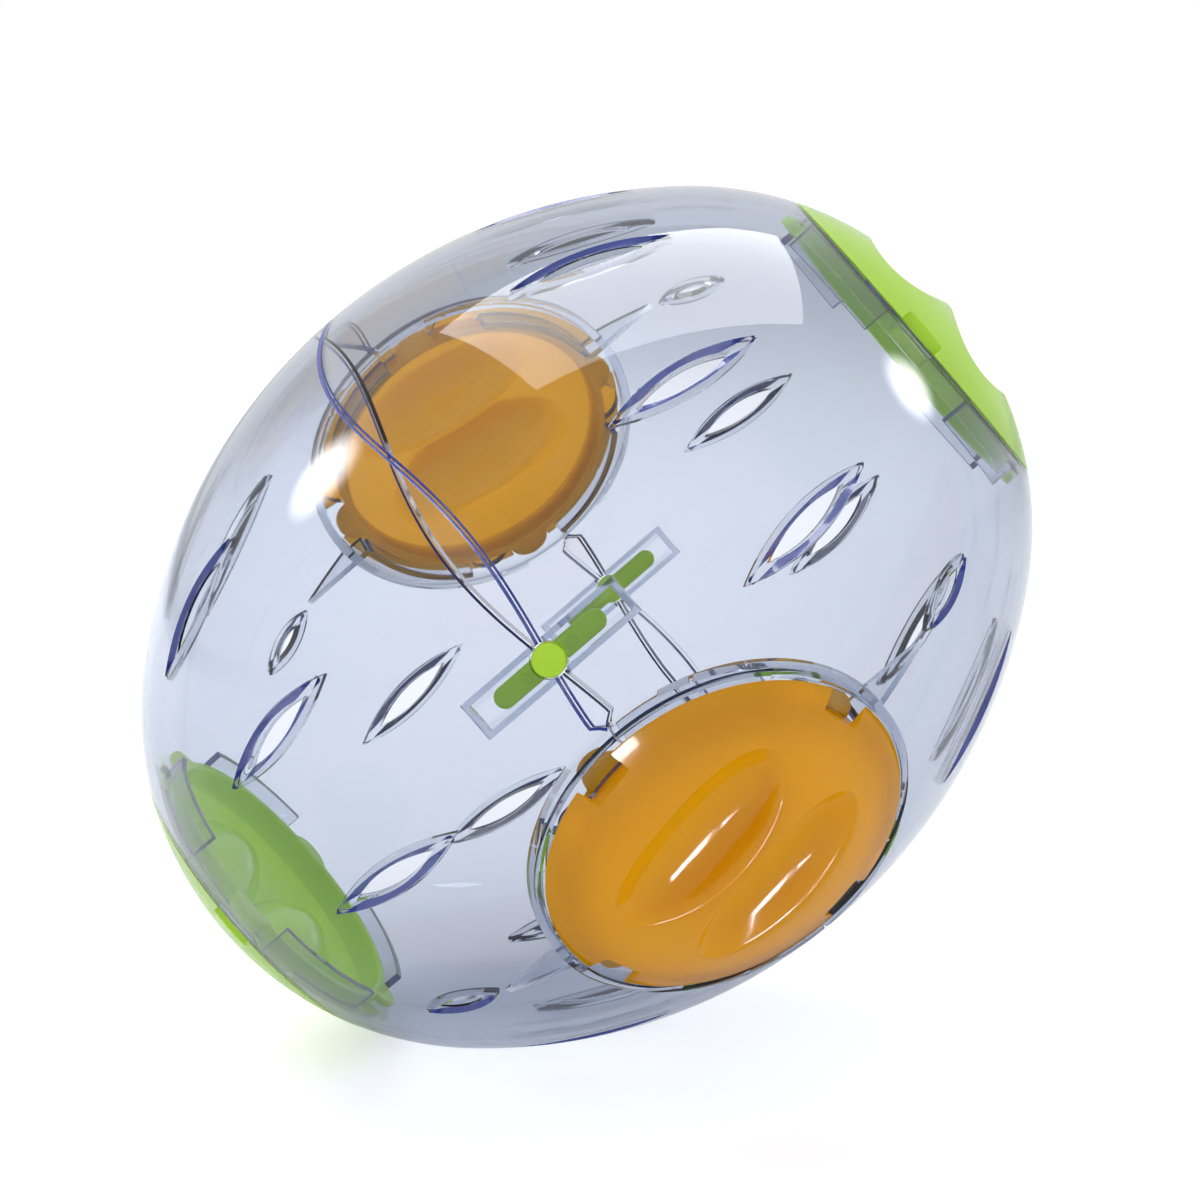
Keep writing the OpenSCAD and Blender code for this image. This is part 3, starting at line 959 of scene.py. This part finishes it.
def clear_plastic():
    material, nodes, links = new_material("clear_plastic")
    shader = added(nodes, "BsdfPrincipled", Base_Color=(0.985, 0.988, 1.0, 1), IOR=plastic_ior,
                   Transmission_Weight=1.0, Specular_Tint=(0.55, 0.56, 0.58, 1))
    links.new(ranged(nodes, links, noise(nodes, links, 60, 3), 0.01, 0.03), shader.inputs["Roughness"])
    waviness = noise(nodes, links, 35, 1)
    links.new(bumped(nodes, links, waviness, 0.05, 0.0004), shader.inputs["Normal"])

    # Painted navy on the marked edges, which stands in for light that has run inside the wall
    navy = added(nodes, "BsdfPrincipled", Base_Color=(0.022, 0.040, 0.24, 1), IOR=plastic_ior,
                 Coat_Weight=0.5, Coat_Roughness=0.03)
    links.new(ranged(nodes, links, noise(nodes, links, 90, 2), 0.15, 0.3), navy.inputs["Roughness"])
    edge = added(nodes, "Attribute")
    edge.attribute_name = "edge"
    depth_of_navy = ranged(nodes, links, noise(nodes, links, 45, 2), 0.75, 1.0)
    share = worked_out(nodes, links, "MULTIPLY", edge.outputs["Fac"], depth_of_navy)
    plastic = mixed(nodes, links, share, shader.outputs["BSDF"], navy.outputs["BSDF"])

    path = added(nodes, "LightPath")
    passing = added(nodes, "BsdfTransparent", Color=(0.97, 0.975, 0.985, 1))
    tint = added(nodes, "VolumeAbsorption", Color=(0.19, 0.29, 0.47, 1), Density=175)
    out = added(nodes, "OutputMaterial")
    surface = mixed(nodes, links, path.outputs["Is Shadow Ray"], plastic, passing.outputs["BSDF"])
    links.new(surface, out.inputs["Surface"])
    links.new(tint.outputs["Volume"], out.inputs["Volume"])
    return material


clear = clear_plastic()
for piece in halves.values():
    piece.data.materials.clear()
    piece.data.materials.append(clear)
print("clear plastic on", ", ".join(sorted(halves)))


# %% [markdown]
# ## Coloured plastic
#
# The caps and latches are glossy, and light soaks through them: a cap seen from inside glows with the
# light behind it. So their own colour is shown by three shares: what is reflected, what soaks through,
# and a little that is seen through clearly. Roughness varies a little over the surface, because a moulded
# part is never polished evenly, and fine scuffs break up the reflections.

# %% Orange and green plastic
def coloured_plastic(name, colour, deep, soaking, clear_share, glow_share):
    """colour is the plastic's own, deep is where the dye is denser, and soaking is the colour of light that
    has soaked through. clear_share passes as through glass, and glow_share mixes in the soaked light."""
    material, nodes, links = new_material(name)
    shader = added(nodes, "BsdfPrincipled", Transmission_Weight=clear_share, IOR=plastic_ior,
                   Specular_IOR_Level=0.3, Coat_Weight=0.5, Coat_Roughness=0.02)
    dye = added(nodes, "Mix")
    dye.data_type = "RGBA"      # its colour inputs are numbers 6 and 7, and its colour output is number 2
    dye.inputs[6].default_value = (*colour, 1)
    dye.inputs[7].default_value = (*deep, 1)
    links.new(ranged(nodes, links, noise(nodes, links, 22, 2), 0, 1), dye.inputs[0])
    links.new(dye.outputs[2], shader.inputs["Base Color"])
    links.new(ranged(nodes, links, noise(nodes, links, 90, 4), 0.08, 0.16), shader.inputs["Roughness"])
    scuffs = noise(nodes, links, 900, 2, stretch=(1, 0.2, 1))
    links.new(bumped(nodes, links, scuffs, 0.06, 0.0002), shader.inputs["Normal"])
    glow = added(nodes, "BsdfTranslucent", Color=(*soaking, 1))
    surface = mixed(nodes, links, glow_share, shader.outputs["BSDF"], glow.outputs["BSDF"])
    links.new(surface, added(nodes, "OutputMaterial").inputs["Surface"])
    return material


seen_through = 0.1
orange = coloured_plastic("orange_plastic", (0.60, 0.28, 0.008), (0.54, 0.245, 0.007),
                          (1.0, 0.71, 0.014), seen_through, 0.54)
green = coloured_plastic("green_plastic", (0.50, 0.74, 0.040), (0.44, 0.68, 0.032),
                         (0.76, 1.0, 0.22), seen_through, 0.38)
for name, piece in {**caps, **latches}.items():
    piece.data.materials.clear()
    piece.data.materials.append(orange if name in ("front_cap", "rear_cap") else green)
print("orange on the side caps, green on the end caps and latches")

# %% [markdown]
# ## The floor and the room
#
# The ball is caught while it rolls, so its long axis is tilted against the floor. The floor is a plain
# pale sheet under it, square to the room's upright and not to the ball's. It shows white to the camera
# and takes only a soft shadow, and it can't be seen from below.

# %% Floor
up = Vector((0.658, 0.394, 0.642)).normalized()
up_beta = math.asin(up.x)
floor_drop = end_c * math.sin(up_beta) + end_curve_r + 0.5
floor_half = 40.0     # metres, so that its far edge lies at the horizon
glow_near = 0.46      # what the camera sees on top of the light that falls on the floor
glow_far = 0.56
glow_reach = (0.3, 1.2)     # metres from the ball, between which the glow goes from near to far
glow_inside = 0.3     # share of it that mirrors show, and that is seen through the ball


def floor():
    """One square face, centred under the ball and square to the room's upright."""
    across = up.orthogonal().normalized()
    along = up.cross(across)
    centre = -up * floor_drop * MM
    corners = [centre + floor_half * (a * across + b * along)
               for a, b in ((-1, -1), (1, -1), (1, 1), (-1, 1))]
    mesh = bpy.data.meshes.new("floor")
    mesh.from_pydata([tuple(c) for c in corners], [], [(0, 1, 2, 3)])
    sheet = bpy.data.objects.new("floor", mesh)
    bpy.context.scene.collection.objects.link(sheet)
    mesh.materials.append(pale_floor())


def pale_floor():
    """Diffuse and pale, with a glow on top that only the camera, mirrors and clear plastic see, so that the
    floor reads as white and still takes a shadow. From below it is clear."""
    material, nodes, links = new_material("pale_floor")
    path = added(nodes, "LightPath")
    turned_rays = [path.outputs["Is Glossy Ray"], path.outputs["Is Transmission Ray"]]
    bent = worked_out(nodes, links, "MULTIPLY", highest(nodes, links, turned_rays), glow_inside)
    seen = highest(nodes, links, [path.outputs["Is Camera Ray"], bent])
    away = added(nodes, "VectorMath")
    away.operation = "LENGTH"
    links.new(added(nodes, "TexCoord").outputs["Object"], away.inputs[0])
    level = ranged(nodes, links, away.outputs["Value"], glow_near, glow_far, *glow_reach)
    glow = added(nodes, "Emission")
    links.new(worked_out(nodes, links, "MULTIPLY", seen, level), glow.inputs["Strength"])
    pale = added(nodes, "BsdfDiffuse", Color=(0.60, 0.60, 0.61, 1))
    both = added(nodes, "AddShader")
    links.new(glow.outputs[0], both.inputs[0])
    links.new(pale.outputs[0], both.inputs[1])
    clear_back = added(nodes, "BsdfTransparent")
    backface = added(nodes, "NewGeometry").outputs["Backfacing"]
    surface = mixed(nodes, links, backface, both.outputs[0], clear_back.outputs[0])
    links.new(surface, added(nodes, "OutputMaterial").inputs["Surface"])
    return material


floor()
print(f"floor {floor_drop:.1f} mm from the ball's middle")


# %% World: plain white to the eye, to mirrors and through glass, and a touch cooler as a lamp
world = bpy.data.worlds.new("pale_room")
bpy.context.scene.world = world
world.use_nodes = True
nodes = world.node_tree.nodes
links = world.node_tree.links
nodes.clear()
path = added(nodes, "LightPath")
seen = highest(nodes, links, [path.outputs["Is " + ray + " Ray"]
                              for ray in ("Camera", "Glossy", "Transmission")])
shown = added(nodes, "Background", Color=(1, 1, 1, 1), Strength=1.0)
lamp = added(nodes, "Background", Color=(0.97, 0.985, 1, 1), Strength=1.0)
out = added(nodes, "OutputWorld")
links.new(mixed(nodes, links, seen, lamp.outputs[0], shown.outputs[0]), out.inputs["Surface"])


# %% [markdown]
# ## Lamps
#
# Glossy plastic shows its lamps, so each lamp here has one job. Three large boxes make no highlight and
# light the plain surfaces: one from above, one from the front, and one from behind, whose light soaks
# through the far caps. A wide window and two soft round lamps only show as highlights, one on the back
# wall and one towards each end. Two small boxes close to the front cap draw the white bars in its hollow,
# and shine on that cap alone.

# %% Soft boxes
def soft_box(name, direction, distance, size, radiance, shape="RECTANGLE", spin=0.0, fade=0.0,
             kinds="glossy", aim=(0, 0, 0), only=None):
    """A lamp that faces a point in the ball, with its sides square to the room's upright. Its power is
    radiance x pi x area. kinds says whether it makes highlights, lights plain surfaces, or both. With a
    fade it gets dimmer over the outer share of its radius. only names the one piece that it shines on."""
    data = bpy.data.lights.new(name, "AREA")
    data.shape = shape
    data.size, data.size_y = size
    data.energy = radiance * math.pi * size[0] * size[1]
    if fade:
        fade_out(data, fade)
    box = bpy.data.objects.new(name, data)
    bpy.context.scene.collection.objects.link(box)
    way = Vector(direction).normalized()
    level = up.cross(way).normalized()
    turning = Matrix((level, way.cross(level), way)).transposed() @ Matrix.Rotation(spin, 3, "Z")
    box.matrix_world = Matrix.Translation(Vector(aim) * MM + way * distance) @ turning.to_4x4()
    box.visible_camera = False
    box.visible_transmission = False
    box.visible_diffuse = "plain" in kinds
    box.visible_glossy = "glossy" in kinds
    if only:
        lit = bpy.data.collections.new("lit_by_" + name)
        lit.objects.link(only)
        box.light_linking.receiver_collection = lit


def fade_out(data, fade):
    """Strength 1 in the middle of a lamp, falling smoothly to 0 at its rim over a share of the radius."""
    data.use_nodes = True
    nodes = data.node_tree.nodes
    links = data.node_tree.links
    nodes.clear()
    off = added(nodes, "VectorMath")
    off.operation = "DISTANCE"
    off.inputs[1].default_value = (0.5, 0.5, 0)      # the lamp's middle, as its surface is numbered 0 to 1
    links.new(added(nodes, "NewGeometry").outputs["Parametric"], off.inputs[0])
    level = ranged(nodes, links, off.outputs["Value"], 1, 0, start=0.5 * (1 - fade), stop=0.5)
    level.node.interpolation_type = "SMOOTHSTEP"
    light = added(nodes, "Emission")
    links.new(level, light.inputs["Strength"])
    links.new(light.outputs[0], added(nodes, "OutputLight").inputs["Surface"])


soft_box("overhead_box", (0.66, 0.42, 0.62), 1.1, (0.55, 0.75), 2.0, kinds="plain")
soft_box("front_fill", (0.25, -0.90, 0.35), 1.5, (0.90, 0.90), 2.4, kinds="plain")
soft_box("rear_fill", (0.10, 0.90, 0.43), 1.5, (0.90, 0.90), 8.0, kinds="plain")
soft_box("window_box", (0.632, 0.54, 0.557), 1.1, (1.10, 0.86), 7.0, spin=0.15)
soft_box("left_box", (-0.29, 0.58, 0.76), 1.2, (0.40, 0.40), 30.0, shape="DISK", fade=0.9)
soft_box("right_box", (0.98, -0.01, -0.17), 1.2, (0.42, 0.42), 26.0, shape="DISK", fade=0.9)

pair_middle = Vector((-6, -78, 6))      # a point on the front cap, in millimetres
pair_way = Vector((-0.66, 0.10, -0.04)).normalized()      # the two bars lie in one line
pair_apart = 37      # from that point to what each box faces
for hand in (-1, 1):
    soft_box("low_box", (-0.38, -0.82, 0.43), 0.18, (0.06, 0.03), 50.0, spin=0.65,
             aim=pair_middle + hand * pair_apart * pair_way, only=caps["front_cap"])

# %% [markdown]
# ## Camera
#
# The camera looks down on the front cap from high in front of it, with a long lens. Its place and its
# three directions were worked out once from the ball's outline.

# %% Camera
camera_data = bpy.data.cameras.new("camera")
camera_data.sensor_width = 36
camera_data.lens = 85.63
camera_data.clip_start = 0.01
camera = bpy.data.objects.new("camera", camera_data)
bpy.context.scene.collection.objects.link(camera)
camera_place = Vector((75.5, -465.5, 409.3)) * MM
right = Vector((0.7532, -0.3658, -0.5467)).normalized()
forward = Vector((-0.1125, 0.7472, -0.6550)).normalized()
top = right.cross(forward).normalized()
forward = top.cross(right).normalized()
turning = Matrix((right, top, -forward)).transposed()
camera.matrix_world = Matrix.Translation(camera_place) @ turning.to_4x4()
bpy.context.scene.camera = camera

view = bpy.context.scene.view_settings
view.view_transform = "Standard"
cycles = bpy.context.scene.cycles
cycles.max_bounces = 16
cycles.transmission_bounces = 16
cycles.glossy_bounces = 6
cycles.transparent_max_bounces = 16
print("camera at", [round(c, 4) for c in camera.location])
